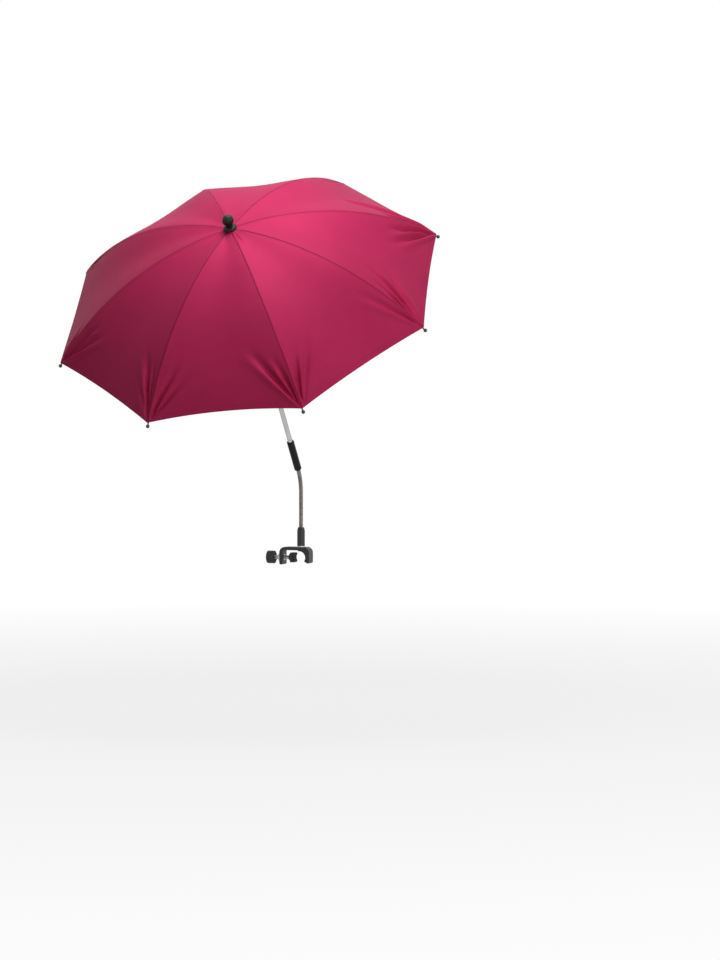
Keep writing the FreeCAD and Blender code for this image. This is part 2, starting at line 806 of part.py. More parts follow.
def make_clamp_knob():
    radius = knob_diameter / 2
    end = knob_face - knob_length
    knob = skinned([fluted_ring(knob_face, radius - knob_dome), fluted_ring(knob_face - knob_dome, radius),
                    fluted_ring(end + knob_dome, radius), fluted_ring(end, radius - knob_dome)])
    bottom = end + knob_wall - seating
    return knob.cut(Part.makeCylinder(screw_diameter / 2 + seating, knob_length, Vector(bottom, 0, 0), AXIS_X))


def build_clamp():
    export("clamp_frame", make_clamp_frame())
    export("jaw_liner", make_jaw_liner())
    export("clamp_nut", make_clamp_nut())
    export("swivel_post", make_swivel_post())
    export("pressure_pad", make_pressure_pad())
    export("pad_facing", make_pad_facing())
    export("clamp_screw", make_clamp_screw())
    export("clamp_knob", make_clamp_knob())


def build_neck():
    export("neck_socket", make_neck_socket())
    export("swivel_set_screw", make_set_screw())
    export("gooseneck_winding", make_gooseneck_winding())
    export("gooseneck_core", make_gooseneck_core())
    print("gooseneck: %d turns, least gap between turns %.2f mm" % (coil_turns, coil_self_gap()))


def build_mast():
    export("neck_coupling", on_mast(make_neck_coupling()))
    export("grip_sleeve", on_mast(make_grip_sleeve()))
    export("shaft_tube", on_mast(make_shaft()))
    export("stop_pin", on_mast(make_stop_pin()))
    export("top_latch_spring", on_mast(make_latch(top_latch_height, -1)))
    export("bottom_latch_spring", on_mast(make_latch(bottom_latch_height, 1)))
    export("crown", on_mast(make_crown()))
    export("crown_wire", on_mast(make_hinge_wire(0)))
    export("canopy_cap", on_mast(make_cap()))
    export("finial_ball", on_mast(make_finial_ball()))
    export("finial_stud", on_mast(make_finial_stud()))
    export("runner", on_mast(make_runner()))
    export("runner_wire", on_mast(make_hinge_wire(-runner_drop)))


def build_canopy():
    patterns = {"rib": make_rib(), "tip": make_tip(), "stretcher": make_stretcher(),
                "canopy_section": make_canopy_section()}
    for index in range(rib_count):
        for name, shape in patterns.items():
            export("%s_%d" % (name, index + 1), on_mast(turned(shape, rib_angle(index))))


os.makedirs("parts", exist_ok=True)
build_clamp()
build_neck()
build_mast()
build_canopy()
print("runner travel %.1f mm, stretcher %.1f mm" % (runner_travel, stretcher_length))
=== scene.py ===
import json
import math
import bmesh
import bpy
from mathutils import Matrix, Vector, noise


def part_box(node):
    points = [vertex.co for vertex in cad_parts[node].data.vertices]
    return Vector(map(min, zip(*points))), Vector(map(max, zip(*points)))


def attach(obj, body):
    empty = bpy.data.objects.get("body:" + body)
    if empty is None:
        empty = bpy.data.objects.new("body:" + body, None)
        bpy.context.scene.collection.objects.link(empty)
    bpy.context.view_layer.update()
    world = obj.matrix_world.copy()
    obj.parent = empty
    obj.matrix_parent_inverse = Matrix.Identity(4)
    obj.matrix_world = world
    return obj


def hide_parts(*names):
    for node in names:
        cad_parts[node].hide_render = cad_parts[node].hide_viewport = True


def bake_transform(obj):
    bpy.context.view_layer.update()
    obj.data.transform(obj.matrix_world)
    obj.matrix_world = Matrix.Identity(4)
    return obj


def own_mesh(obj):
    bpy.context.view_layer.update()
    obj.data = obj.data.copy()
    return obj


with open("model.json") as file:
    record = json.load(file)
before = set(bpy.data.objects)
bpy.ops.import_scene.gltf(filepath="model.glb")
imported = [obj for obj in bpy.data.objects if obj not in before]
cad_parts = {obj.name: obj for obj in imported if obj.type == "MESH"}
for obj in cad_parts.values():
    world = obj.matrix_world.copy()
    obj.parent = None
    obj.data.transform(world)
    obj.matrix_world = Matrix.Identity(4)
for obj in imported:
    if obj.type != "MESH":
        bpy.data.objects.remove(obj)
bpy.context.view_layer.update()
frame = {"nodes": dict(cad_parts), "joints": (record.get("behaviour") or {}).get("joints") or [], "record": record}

nodes = frame["nodes"]
print("parasol: frame loaded,", len(nodes), "nodes")

# mast frame, metres: zero height at the rib hinges, Z up the mast
mastSizes = dict(tilt=40.0, ribs=8, firstRib=210.5, hingeRing=0.008, tipCircle=0.370, tipDrop=0.162)
ribJoint = next(j for j in frame["joints"] if j["name"] == "rib_1_fold")
ribTurn = Matrix.Rotation(math.radians(mastSizes["tilt"]), 4, "X")
firstTurn = Matrix.Rotation(math.radians(mastSizes["firstRib"]), 4, "Z")
mastPlace = Vector(ribJoint["pos_m"]) - (ribTurn @ firstTurn).to_3x3() @ Vector((mastSizes["hingeRing"], 0, 0))
mastMatrix = Matrix.Translation(mastPlace) @ ribTurn
ribSpan = mastSizes["tipCircle"] - mastSizes["hingeRing"]
ribArc = (ribSpan ** 2 + mastSizes["tipDrop"] ** 2) / (2 * mastSizes["tipDrop"])
tipArc = math.asin(ribSpan / ribArc)


def ribMatrix(index):
    turn = math.radians(mastSizes["firstRib"] + index * 360 / mastSizes["ribs"])
    return mastMatrix @ Matrix.Rotation(turn, 4, "Z")


def ribPoint(arc, above):
    bend = ribArc + above
    return Vector((mastSizes["hingeRing"] + bend * math.sin(arc), 0, bend * math.cos(arc) - ribArc))


def smoothStep(low, high, value):
    share = min(1, max(0, (value - low) / (high - low)))
    return share * share * (3 - 2 * share)


# materials, each from its own small set of nodes
def newFinish(name):
    material = bpy.data.materials.new(name)
    material.use_nodes = True
    tree = material.node_tree
    tree.nodes.clear()
    out = tree.nodes.new("ShaderNodeOutputMaterial")
    shader = tree.nodes.new("ShaderNodeBsdfPrincipled")
    tree.links.new(shader.outputs["BSDF"], out.inputs["Surface"])
    return material, tree, shader


def node(tree, kind, **inputs):
    made = tree.nodes.new(kind)
    for key, value in inputs.items():
        if hasattr(made, key):
            setattr(made, key, value)
        else:
            made.inputs[key.replace("_", " ")].default_value = value
    return made


def joined(tree, source, target):
    tree.links.new(source, target)


def mathNode(tree, operation, first, second=None):
    made = node(tree, "ShaderNodeMath", operation=operation)
    for slotIndex, value in enumerate((first, second)):
        if value is None:
            continue
        if isinstance(value, (int, float)):
            made.inputs[slotIndex].default_value = value
        else:
            joined(tree, value, made.inputs[slotIndex])
    return made.outputs[0]


def mixColours(tree, share, first, second):
    # colours go in at sockets 6 and 7 and come out at 2
    made = node(tree, "ShaderNodeMix", data_type="RGBA")
    for socket, value in ((made.inputs["Factor"], share), (made.inputs[6], first), (made.inputs[7], second)):
        if isinstance(value, (tuple, int, float)):
            socket.default_value = value
        else:
            joined(tree, value, socket)
    return made.outputs[2]


def ranged(tree, value, fromLow, fromHigh, toLow, toHigh):
    made = node(tree, "ShaderNodeMapRange", From_Min=fromLow, From_Max=fromHigh, To_Min=toLow, To_Max=toHigh)
    joined(tree, value, made.inputs["Value"])
    return made.outputs["Result"]


# grain of the hard pieces: a fine noise for the polish and a broad one for the colour
grainLook = dict(fineDetail=6.0, fineRough=0.6, polishFrom=0.25, polishTo=0.75, lift=0.5,
                 broader=14, broadDetail=3.0, broadFrom=0.3, broadTo=0.7)


def solidFinish(name, dark, light, rough, grain, bump, metallic=0.0, stretch=(1, 1, 1), turn=(0, 0, 0), gloss=0.5,
                edge=(1, 1, 1, 1)):
    material, tree, shader = newFinish(name)
    where = node(tree, "ShaderNodeTexCoord")
    mapping = node(tree, "ShaderNodeMapping")
    mapping.inputs["Rotation"].default_value = turn
    mapping.inputs["Scale"].default_value = stretch
    joined(tree, where.outputs["Object"], mapping.inputs["Vector"])
    fine = node(tree, "ShaderNodeTexNoise", Scale=grain, Detail=grainLook["fineDetail"],
                Roughness=grainLook["fineRough"])
    broad = node(tree, "ShaderNodeTexNoise", Scale=grain / grainLook["broader"], Detail=grainLook["broadDetail"])
    for texture in (fine, broad):
        joined(tree, mapping.outputs["Vector"], texture.inputs["Vector"])
    shade = ranged(tree, broad.outputs["Fac"], grainLook["broadFrom"], grainLook["broadTo"], 0, 1)
    joined(tree, mixColours(tree, shade, dark, light), shader.inputs["Base Color"])
    polish = ranged(tree, fine.outputs["Fac"], grainLook["polishFrom"], grainLook["polishTo"], *rough)
    joined(tree, polish, shader.inputs["Roughness"])
    lift = node(tree, "ShaderNodeBump", Strength=grainLook["lift"], Distance=bump)
    joined(tree, fine.outputs["Fac"], lift.inputs["Height"])
    joined(tree, lift.outputs["Normal"], shader.inputs["Normal"])
    shader.inputs["Metallic"].default_value = metallic
    shader.inputs["Specular IOR Level"].default_value = gloss
    shader.inputs["Specular Tint"].default_value = edge
    return material


alongMast = (math.radians(-mastSizes["tilt"]), 0, 0)
# dark and light colour, polish from and to, grain per metre and its height
hardLooks = dict(
    # chrome darkens towards the tube's edges
    shaftChrome=dict(dark=(0.48, 0.48, 0.49, 1), light=(0.60, 0.60, 0.61, 1), metallic=1.0, rough=(0.06, 0.14),
                     grain=700, bump=0.00001, stretch=(1, 1, 0.05), turn=alongMast, edge=(0.10, 0.10, 0.11, 1)),
    ribSteel=dict(dark=(0.34, 0.34, 0.35, 1), light=(0.50, 0.50, 0.51, 1), metallic=0.9, rough=(0.26, 0.42),
                  grain=500, bump=0.00002),
    gripPlastic=dict(dark=(0.014, 0.014, 0.014, 1), light=(0.023, 0.023, 0.022, 1), rough=(0.50, 0.66),
                     grain=1400, bump=0.00006, gloss=0.2),
    finialPlastic=dict(dark=(0.013, 0.013, 0.013, 1), light=(0.022, 0.022, 0.021, 1), rough=(0.36, 0.50),
                       grain=1600, bump=0.00003, gloss=0.22),
    tipPlastic=dict(dark=(0.030, 0.031, 0.031, 1), light=(0.055, 0.056, 0.056, 1), rough=(0.28, 0.42),
                    grain=2200, bump=0.00002),
    hingePlastic=dict(dark=(0.030, 0.030, 0.031, 1), light=(0.050, 0.050, 0.052, 1), rough=(0.40, 0.55),
                      grain=1400, bump=0.00004),
    springSteel=dict(dark=(0.36, 0.36, 0.37, 1), light=(0.52, 0.52, 0.52, 1), metallic=1.0, rough=(0.22, 0.36),
                     grain=900, bump=0.00001),
    turnedSteel=dict(dark=(0.42, 0.42, 0.42, 1), light=(0.56, 0.56, 0.56, 1), metallic=1.0, rough=(0.20, 0.34),
                     grain=900, bump=0.00001, stretch=(1, 1, 6)),
    neckSatin=dict(dark=(0.350, 0.312, 0.276, 1), light=(0.470, 0.422, 0.378, 1), metallic=0.30, rough=(0.34, 0.50),
                   grain=900, bump=0.00002),
    clampPlastic=dict(dark=(0.020, 0.020, 0.021, 1), light=(0.036, 0.036, 0.037, 1), rough=(0.42, 0.58),
                      grain=1200, bump=0.00006),
    gripRubber=dict(dark=(0.012, 0.012, 0.012, 1), light=(0.022, 0.022, 0.022, 1), rough=(0.70, 0.90),
                    grain=1500, bump=0.00008),
)
finishes = {name: solidFinish(name, **look) for name, look in hardLooks.items()}

# cloth: colours, weave, seam and stitches in metres, and how it shines
# the seam colour is painted shade for the groove along each rib
clothLook = dict(base=(0.560, 0.0280, 0.1200, 1), deep=(0.505, 0.0240, 0.1050, 1), seam=(0.150, 0.0075, 0.0300, 1),
                 thread=(0.360, 0.0180, 0.0720, 1), threads=0.0006, slub=9.0, slubDetail=4.0, slubFrom=0.3, slubTo=0.7,
                 seamHalf=0.0007, seamSoft=0.4, stitch=0.0034, stitchShare=0.62, stitchHalf=0.0004, stitchFrom=0.0031,
                 hemStitch=0.0085, stitchLift=1.5, rough=(0.52, 0.62), lift=0.25, liftHeight=0.00012, sheen=0.015,
                 sheenRough=0.35, sheenTint=(1.0, 0.55, 0.70, 1), gloss=0.06, lustre=0.16)


def stitchRow(tree, run, away, at):
    part = mathNode(tree, "FRACT", mathNode(tree, "DIVIDE", run, clothLook["stitch"]))
    dash = mathNode(tree, "LESS_THAN", part, clothLook["stitchShare"])
    row = mathNode(tree, "COMPARE", away, at)
    row.node.inputs[2].default_value = clothLook["stitchHalf"]
    return mathNode(tree, "MULTIPLY", dash, row)


def clothFinish():
    material, tree, shader = newFinish("canopyCloth")
    uv = node(tree, "ShaderNodeUVMap", uv_map="weave")
    split = node(tree, "ShaderNodeSeparateXYZ")
    joined(tree, uv.outputs["UV"], split.inputs["Vector"])
    across, along = split.outputs["X"], split.outputs["Y"]
    offRib = mathNode(tree, "ABSOLUTE", across)
    hem = node(tree, "ShaderNodeAttribute", attribute_name="hemDistance").outputs["Fac"]
    # plain weave: two crossed ripples
    wave = 2 * math.pi / clothLook["threads"]
    weft = mathNode(tree, "SINE", mathNode(tree, "MULTIPLY", across, wave))
    warp = mathNode(tree, "SINE", mathNode(tree, "MULTIPLY", along, wave))
    weave = mathNode(tree, "MULTIPLY", weft, warp)
    where = node(tree, "ShaderNodeTexCoord")
    slub = node(tree, "ShaderNodeTexNoise", Scale=clothLook["slub"], Detail=clothLook["slubDetail"])
    joined(tree, where.outputs["Object"], slub.inputs["Vector"])
    shade = ranged(tree, slub.outputs["Fac"], clothLook["slubFrom"], clothLook["slubTo"], 0, 1)
    colour = mixColours(tree, shade, clothLook["deep"], clothLook["base"])
    # painted shade: a dark line where the gores are sewn together over the rib, standing in for the shade in the seam's
    # groove
    seamIn = clothLook["seamHalf"] * (1 - clothLook["seamSoft"])
    seamOut = clothLook["seamHalf"] * (1 + clothLook["seamSoft"])
    colour = mixColours(tree, ranged(tree, offRib, seamIn, seamOut, 1, 0), colour, clothLook["seam"])
    # stitches beside the seam and along the hem
    seamStitches = stitchRow(tree, along, offRib, clothLook["stitchFrom"])
    hemStitches = stitchRow(tree, across, hem, clothLook["hemStitch"])
    stitches = mathNode(tree, "MAXIMUM", seamStitches, hemStitches)
    colour = mixColours(tree, stitches, colour, clothLook["thread"])
    joined(tree, colour, shader.inputs["Base Color"])
    joined(tree, ranged(tree, weave, -1, 1, *clothLook["rough"]), shader.inputs["Roughness"])
    lift = node(tree, "ShaderNodeBump", Strength=clothLook["lift"], Distance=clothLook["liftHeight"])
    raised = mathNode(tree, "MULTIPLY", stitches, clothLook["stitchLift"])
    joined(tree, mathNode(tree, "ADD", weave, raised), lift.inputs["Height"])
    joined(tree, lift.outputs["Normal"], shader.inputs["Normal"])
    shader.inputs["Sheen Weight"].default_value = clothLook["sheen"]
    shader.inputs["Sheen Roughness"].default_value = clothLook["sheenRough"]
    shader.inputs["Sheen Tint"].default_value = clothLook["sheenTint"]
    shader.inputs["Specular IOR Level"].default_value = clothLook["gloss"]
    shader.inputs["Metallic"].default_value = clothLook["lustre"]
    return material


finishes["canopyCloth"] = clothFinish()
print("parasol: finishes made,", len(finishes))


def newPiece(name, bm, finish, smooth=True):
    mesh = bpy.data.meshes.new(name)
    bm.to_mesh(mesh)
    bm.free()
    piece = bpy.data.objects.new(name, mesh)
    bpy.context.scene.collection.objects.link(piece)
    mesh.materials.append(finishes[finish])
    for face in mesh.polygons:
        face.use_smooth = smooth
    return piece


# canopy: eight cloth wings, one along each rib, meeting halfway between ribs
# each wing is cut into a middle strip and a pleat on both sides, along the lines where the cloth turns in when the ribs
# fold
canopy = dict(offset=0.0033, hole=0.006, cornerBack=0.0065, rows=104, columns=96, hemRows=8, gather=1.9, rowGather=1.25,
              sag=0.0045, thickness=0.0005, hemTurn=0.0095, hemLift=0.0007, hemRound=0.3, seamDeep=0.0005,
              seamWidth=0.0009, seamRaise=0.0004, flapFrom=(0.0009, 0.0017), flapTo=(0.0046, 0.0056), ripple=0.0005,
              rippleScale=14, rippleFrom=(0.02, 0.12), foldsEnd=(0.72, 0.98),
              foldAt=0.0285, foldSlope=0.020, keepMiddle=0.70, keepPleat=0.03)
# hem bow of the gore after each rib, in metres
hemBow = [0.0050, 0.0085, 0.0045, 0.0040, 0.0060, 0.0060, 0.0055, 0.0050]
# folds that run in from each corner: side, degrees off the rib, length, depth, half width
cornerFolds = {
    1: [(1, 14, 0.12, 0.0059, 0.0041), (1, 27, 0.12, 0.0062, 0.0055), (-1, 9, 0.09, 0.0030, 0.0046)],
    2: [(-1, 8, 0.12, 0.0068, 0.0035), (-1, 19, 0.13, 0.0100, 0.0052), (-1, 33, 0.09, 0.0046, 0.0055),
        (1, 17, 0.12, 0.0076, 0.0046), (1, 33, 0.11, 0.0049, 0.0064)],
    3: [(-1, 10, 0.11, 0.0073, 0.0039), (-1, 24, 0.14, 0.0089, 0.0053), (1, 13, 0.11, 0.0095, 0.0046),
        (1, 27, 0.15, 0.0062, 0.0069), (1, 40, 0.09, 0.0030, 0.0064)],
    4: [(1, 9, 0.13, 0.0089, 0.0039), (1, 20, 0.16, 0.0113, 0.0048), (1, 33, 0.13, 0.0081, 0.0055),
        (-1, 12, 0.14, 0.0054, 0.0055)],
    5: [(-1, 16, 0.12, 0.0120, 0.0060), (-1, 36, 0.13, 0.0080, 0.0065), (1, 9, 0.12, 0.0085, 0.0052),
        (1, 30, 0.19, 0.0120, 0.0050)],
    6: [(-1, 14, 0.12, 0.0034, 0.0055), (1, 12, 0.10, 0.0030, 0.0050)],
    7: [(-1, 11, 0.10, 0.0030, 0.0050), (1, 18, 0.12, 0.0034, 0.0060)],
    8: [(-1, 16, 0.11, 0.0034, 0.0055), (1, 10, 0.10, 0.0030, 0.0050)],
}
# shape of a fold: width at the corner and its growth, ridge beside it, where it rises and fades, flat on the rib
foldShape = dict(width=0.35, widen=1.3, ridge=0.45, ridgeOff=2.1, ridgeWide=1.2, rise=0.18, fade=0.35,
                 ribFlat=(0.0018, 0.0060))
# short creases round the cap: side, share of the half gore, reach from, reach to, depth, half width
crownFolds = {
    2: [(1, 0.62, 0.013, 0.050, 0.0012, 0.0022)],
    3: [(-1, 0.30, 0.013, 0.040, 0.0014, 0.0014), (1, 0.50, 0.013, 0.062, 0.0018, 0.0028)],
    4: [(1, 0.55, 0.013, 0.040, 0.0006, 0.0022)],
    7: [(1, 0.5, 0.013, 0.040, 0.0007, 0.0022)],
}
creasePeak = 0.6  # below 1 the crease is deepest near the cap


def foldDepth(rib, side, inward, across):
    depth = 0
    for foldSide, angle, length, deep, half in cornerFolds[rib]:
        if foldSide != side:
            continue
        turn = math.radians(angle)
        down = inward * math.cos(turn) + across * math.sin(turn)
        off = across * math.cos(turn) - inward * math.sin(turn)
        if not 0 < down < length:
            continue
        share = down / length
        width = half * (foldShape["width"] + foldShape["widen"] * share)
        strength = smoothStep(0, foldShape["rise"], share) * (1 - smoothStep(foldShape["fade"], 1, share))
        beside = (off - foldShape["ridgeOff"] * width) / (foldShape["ridgeWide"] * width)
        depth += deep * strength * (math.exp(-(off / width) ** 2) - foldShape["ridge"] * math.exp(-beside ** 2))
    # the cloth stays up where it lies on the rib
    return depth * smoothStep(*foldShape["ribFlat"], across)


def creaseDepth(rib, side, reach, share):
    depth = 0
    for foldSide, at, low, high, deep, half in crownFolds.get(rib, []):
        if foldSide == side and low < reach < high:
            along = (reach - low) / (high - low)
            off = (share - at) * reach * math.tan(math.pi / mastSizes["ribs"])
            depth += deep * math.sin(math.pi * along ** creasePeak) * math.exp(-(off / half) ** 2)
    return depth


def canopyWing(index):
    rib = index + 1
    half = math.pi / mastSizes["ribs"]
    startArc = (canopy["hole"] - mastSizes["hingeRing"]) / ribArc
    endArc = tipArc - canopy["cornerBack"] / ribArc
    span = endArc - startArc
    bows = {1: hemBow[index], -1: hemBow[index - 1]}
    place = ribMatrix(index)
    bm = bmesh.new()
    rows = canopy["rows"] + canopy["hemRows"]
    bmesh.ops.create_grid(bm, x_segments=canopy["columns"], y_segments=rows, size=1)
    weaveMap = bm.loops.layers.uv.new("weave")
    hemLayer = bm.verts.layers.float.new("hemDistance")
    flatPlace = {}
    hemShare = canopy["hemRows"] / rows
    for vert in bm.verts:
        side = 1 if vert.co.x >= 0 else -1
        share = abs(vert.co.x) ** canopy["gather"]
        row = (vert.co.y + 1) / 2
        bow = bows[side] * share * (2 - share)
        edgeArc = endArc - bow / ribArc
        under = 0
        if row <= 1 - hemShare + 1e-6:
            run = 1 - max(0, 1 - row / (1 - hemShare)) ** canopy["rowGather"]
            arc = startArc + (edgeArc - startArc) * run
            hemAway = (edgeArc - arc) * ribArc
        else:
            # the hem's turned edge goes round and back under the cloth
            turnShare = (row - 1 + hemShare) / hemShare
            back = max(0, turnShare - canopy["hemRound"]) / (1 - canopy["hemRound"])
            bulge = canopy["hemLift"] / 2 * math.sin(math.pi * min(1, turnShare / canopy["hemRound"]))
            arc = edgeArc + (bulge - back * canopy["hemTurn"]) / ribArc
            under = canopy["hemLift"] * smoothStep(0, canopy["hemRound"], turnShare)
            hemAway = -turnShare * canopy["hemTurn"]
        base = ribPoint(arc, canopy["offset"])
        reach = base.x
        across = reach * share * math.sin(half) * math.cos(half)
        inward = (endArc - arc) * ribArc
        spread = (arc - startArc) / span
        sink = canopy["sag"] * 4 * spread * (1 - spread) * (1 - math.cos(math.pi * share)) / 2
        # folds end before the line where two wings meet, so that the wings stay together there
        window = 1 - smoothStep(*canopy["foldsEnd"], share)
        sink += window * (foldDepth(rib, side, inward, across) + creaseDepth(rib, side, reach, share))
        sink += canopy["seamDeep"] * math.exp(-(across / canopy["seamWidth"]) ** 2)
        if side > 0:
            flap = smoothStep(*canopy["flapFrom"], across) * (1 - smoothStep(*canopy["flapTo"], across))
            sink -= canopy["seamRaise"] * flap
        point = Vector((reach * (1 - share * math.sin(half) ** 2), side * across, base.z))
        out = Vector((math.sin(arc), 0, math.cos(arc)))
        ground = place @ point
        wavy = noise.noise(ground * canopy["rippleScale"]) * smoothStep(*canopy["rippleFrom"], spread)
        sink += canopy["ripple"] * wavy
        vert.co = place @ (point - out * (sink + under))
        vert[hemLayer] = hemAway
        flatPlace[vert.index] = (side * across, (arc - startArc) * ribArc)
    for face in bm.faces:
        for loop in face.loops:
            loop[weaveMap].uv = flatPlace[loop.vert.index]
    bmesh.ops.recalc_face_normals(bm, faces=bm.faces)
    upward = place.to_3x3() @ Vector((0, 0, 1))
    if sum(face.normal.dot(upward) * face.calc_area() for face in bm.faces) < 0:
        bmesh.ops.reverse_faces(bm, faces=bm.faces)
    # the lines that each pleat folds on, one on either side of the rib
    for side in (1, -1):
        bmesh.ops.bisect_plane(bm, geom=bm.verts[:] + bm.edges[:] + bm.faces[:], dist=1e-6,
                               plane_co=place @ Vector((0, side * canopy["foldAt"], 0)),
                               plane_no=place.to_3x3() @ Vector((canopy["foldSlope"], side, 0)).normalized())
    bm.normal_update()
    smoothLayer = bm.verts.layers.float_vector.new("smoothNormal")
    for vert in bm.verts:
        vert[smoothLayer] = vert.normal
    return [canopyPart(bm, index, side) for side in (0, 1, -1)]


def pleatSide(place, point):
    local = place.inverted() @ point
    if abs(local.y) < canopy["foldAt"] - canopy["foldSlope"] * local.x:
        return 0
    return 1 if local.y > 0 else -1


def canopyPart(wing, index, side):
    rib = index + 1
    place = ribMatrix(index)
    bm = wing.copy()
    others = [face for face in bm.faces if pleatSide(place, face.calc_center_median()) != side]
    bmesh.ops.delete(bm, geom=others, context="FACES")
    for edge in bm.edges:
        edge.smooth = not edge.is_boundary
    smoothLayer = bm.verts.layers.float_vector["smoothNormal"]
    normals = [tuple(vert[smoothLayer]) for vert in bm.verts]
    bm.verts.layers.float_vector.remove(smoothLayer)
    name = ("canopyWing%d" if side == 0 else "canopyPleat%dA" if side > 0 else "canopyPleat%dB") % rib
    piece = newPiece(name, bm, "canopyCloth")
    piece.data.normals_split_custom_set_from_vertices(normals)
    walls = piece.modifiers.new("cloth", "SOLIDIFY")
    walls.thickness = canopy["thickness"]
    walls.offset = 0
    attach(piece, "rib_%d" % rib)
    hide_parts("canopy_section_%d" % rib)
    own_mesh(piece)
    return piece


wings = [canopyWing(index) for index in range(mastSizes["ribs"])]
print("parasol: canopy wings", len(wings), "in", sum(len(wing) for wing in wings), "pieces")


# turned pieces: an outline of (radius, height) spun about Z
def spunPiece(name, outline, place, finish, steps):
    bm = bmesh.new()
    verts = [bm.verts.new((radius, 0, height)) for radius, height in outline]
    edges = [bm.edges.new(pair) for pair in zip(verts, verts[1:])]
    bmesh.ops.spin(bm, geom=verts + edges, cent=(0, 0, 0), axis=(0, 0, 1), angle=2 * math.pi, steps=steps,
                   use_merge=True)
    bmesh.ops.remove_doubles(bm, verts=bm.verts, dist=1e-7)
    bmesh.ops.recalc_face_normals(bm, faces=bm.faces)
    bmesh.ops.transform(bm, matrix=place, verts=bm.verts)
    return newPiece(name, bm, finish)


def rounded(points, radius, steps=4, most=0.45):
    # the same outline with its inner corners rounded, no arc longer than its share of a side
    line = [Vector((r, h)) for r, h in points]
    soft = [line[0]]
    for before, corner, after in zip(line, line[1:], line[2:]):
        arm = min(radius, (before - corner).length * most, (after - corner).length * most)
        first = corner + (before - corner).normalized() * arm
        last = corner + (after - corner).normalized() * arm
        for step in range(steps + 1):
            share = step / steps
            soft.append(first.lerp(corner, share).lerp(corner.lerp(last, share), share))
    soft.append(line[-1])
    return [tuple(point) for point in soft]


def ballOutline(radius, height, neckRadius, steps):
    start = math.pi - math.asin(neckRadius / radius)
    angles = [start * (1 - step / steps) for step in range(steps + 1)]
    return [(max(0, radius * math.sin(angle)), height + radius * math.cos(angle)) for angle in angles]


# finial: a ball on a collar
finial = dict(foot=0.0041, cap=0.0124, footRound=(0.0012, 0.0006), edge=0.0014, shoulder=(0.94, 0.0036),
              capHeight=0.0064, capTop=0.0066, topRound=(0.0018, 0.0007), round=0.0010, ball=0.01075, ballHeight=0.0223,
              neck=0.0064, neckFoot=(0.0004, 0.0001), neckRise=0.0010, ballSteps=28, steps=64)
capTop = finial["foot"] + finial["capHeight"]
capOutline = [(0, finial["foot"]), (finial["cap"] - finial["footRound"][0], finial["foot"]),
              (finial["cap"], finial["foot"] + finial["footRound"][1]),
              (finial["cap"], finial["foot"] + finial["edge"]),
              (finial["cap"] * finial["shoulder"][0], finial["foot"] + finial["shoulder"][1]),
              (finial["capTop"] + finial["topRound"][0], capTop - finial["topRound"][1]), (finial["capTop"], capTop),
              (0, capTop)]
capLine = rounded(capOutline, finial["round"])
capPiece = spunPiece("finialCollar", capLine, mastMatrix, "finialPlastic", finial["steps"])
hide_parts("canopy_cap")
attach(capPiece, "mast")
ballFoot = capTop + finial["neckFoot"][1]
ballLine = [(0, ballFoot), (finial["neck"] + finial["neckFoot"][0], ballFoot),
            (finial["neck"], capTop + finial["neckRise"])]
ballLine += ballOutline(finial["ball"], finial["ballHeight"], finial["neck"], finial["ballSteps"])
ballPiece = spunPiece("finialKnob", ballLine, mastMatrix, "finialPlastic", finial["steps"])
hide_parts("finial_ball")
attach(ballPiece, "mast")

# rib tips: a ball on a waisted stem, with a collar against the rib's end
ribTip = dict(ball=0.0034, stem=0.0014, collar=0.0021, foot=-0.00945, collarEdge=0.0016, collarLength=0.0028,
              waist=0.92, waistAt=-0.0044, round=0.0004, roundSteps=3, ballSteps=14, steps=28)
tipOutline = [(0, ribTip["foot"]), (ribTip["collar"], ribTip["foot"]),
              (ribTip["collar"], ribTip["foot"] + ribTip["collarEdge"]),
              (ribTip["stem"], ribTip["foot"] + ribTip["collarLength"]),
              (ribTip["stem"] * ribTip["waist"], ribTip["waistAt"])]
tipLine = rounded(tipOutline, ribTip["round"], ribTip["roundSteps"])
tipLine += ballOutline(ribTip["ball"], 0, ribTip["stem"], ribTip["ballSteps"])
for index in range(mastSizes["ribs"]):
    tipTurn = Matrix.Rotation(tipArc + math.pi / 2, 4, "Y")
    tipPlace = ribMatrix(index) @ Matrix.Translation(ribPoint(tipArc, 0)) @ tipTurn
    tip = spunPiece("ribTip%d" % (index + 1), tipLine, tipPlace, "tipPlastic", ribTip["steps"])
    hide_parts("tip_%d" % (index + 1))
    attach(tip, "rib_%d" % (index + 1))
print("parasol: finial and rib tips")

# gooseneck: a close winding over a dark core, in two lengths that meet at the middle of the bend
neck = dict(socketTop=0.0588, straight=0.066, bendRadius=0.075, wire=0.00112, radius=0.00425, pitch=0.0024, core=0.0026,
            lowerFrom=-0.0096, lowerTurns=30, upperTurns=27, stepsPerTurn=22, wireSides=8, coreSides=16, coreCuts=40)


def neckPlace(distance):
    if distance <= neck["straight"]:
        return Vector((0, 0, neck["socketTop"] + distance)), Vector((0, 1, 0))
    angle = min((distance - neck["straight"]) / neck["bendRadius"], math.radians(mastSizes["tilt"]))
    centre = Vector((0, -neck["bendRadius"], neck["socketTop"] + neck["straight"]))
    inward = Vector((0, math.cos(angle), math.sin(angle)))
    extra = distance - neck["straight"] - angle * neck["bendRadius"]
    onward = Vector((0, -math.sin(angle), math.cos(angle)))
    return centre + inward * neck["bendRadius"] + onward * extra, inward


